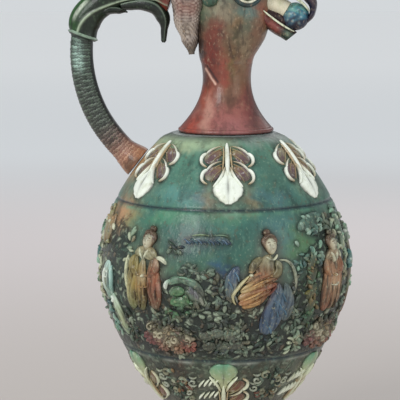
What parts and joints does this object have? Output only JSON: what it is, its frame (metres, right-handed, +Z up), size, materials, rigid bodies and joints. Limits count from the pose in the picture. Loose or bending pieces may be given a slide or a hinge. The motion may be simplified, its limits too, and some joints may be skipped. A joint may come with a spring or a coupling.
{
  "type": "ewer",
  "caption": "Glazed ceramic ewer with a phoenix-head spout whose open beak holds a pearl, a beaded handle, and moulded palmettes and figures on the body.",
  "frame": {"origin": "centre of the foot's flat resting face", "axes": "+Z up along the vessel's axis, +X towards the beak, -X towards the handle, +Y to the bird's left"},
  "size_m": [0.1999, 0.1802, 0.392],
  "materials": {
    "body": "gloss",
    "neck": "gloss",
    "head": "gloss",
    "beak": "gloss",
    "feather": "gloss",
    "cream": "gloss",
    "pearl": "gloss",
    "handle": "gloss",
    "robe_olive": "gloss",
    "robe_amber": "gloss",
    "foliage": "gloss",
    "ledge": "gloss",
    "rosette": "gloss"
  },
  "bodies": {
    "root": {"foot": "body", "belly_lower": "body", "belly_upper": "body", "neck": "neck", "head": "head", "mouth_cup": "head", "brow_curl_left": "head", "brow_curl_right": "head", "beak_lower": "beak", "beak_upper": "feather", "nape_tuft": "feather", "tongue": "cream", "eye_left": "cream", "eye_right": "cream", "shoulder_palmette_1": "cream", "shoulder_palmette_2": "cream", "shoulder_palmette_3": "cream", "shoulder_palmette_4": "cream", "shoulder_palmette_5": "cream", "shoulder_palmette_6": "cream", "lower_palmette_1": "cream", "lower_palmette_2": "cream", "lower_palmette_3": "cream", "lower_palmette_4": "cream", "lower_palmette_5": "cream", "lower_palmette_6": "cream", "streamer_1": "cream", "streamer_2": "cream", "side_leaves_1": "cream", "side_leaves_2": "cream", "pearl": "pearl", "handle_stem": "handle", "handle_collar": "handle", "handle_scroll": "handle", "leaf_inner": "handle", "leaf_drop": "handle", "standing_figure_1": "robe_olive", "standing_figure_2": "robe_olive", "seated_figure_1": "robe_amber", "seated_figure_2": "robe_amber", "attendant_figure_1": "robe_amber", "attendant_figure_2": "robe_amber", "tree_1": "foliage", "tree_2": "foliage", "sapling_1": "foliage", "sapling_2": "foliage", "cloud_band_1": "foliage", "cloud_band_2": "foliage", "leaf_spray_1": "foliage", "leaf_spray_2": "foliage", "edge_leaves_1": "foliage", "edge_leaves_2": "foliage", "ledge_1": "ledge", "ledge_2": "ledge", "hill_1": "ledge", "hill_2": "ledge", "rosettes_1": "rosette", "rosettes_2": "rosette", "edge_rosettes_1": "rosette", "edge_rosettes_2": "rosette"}
  },
  "joints": []
}
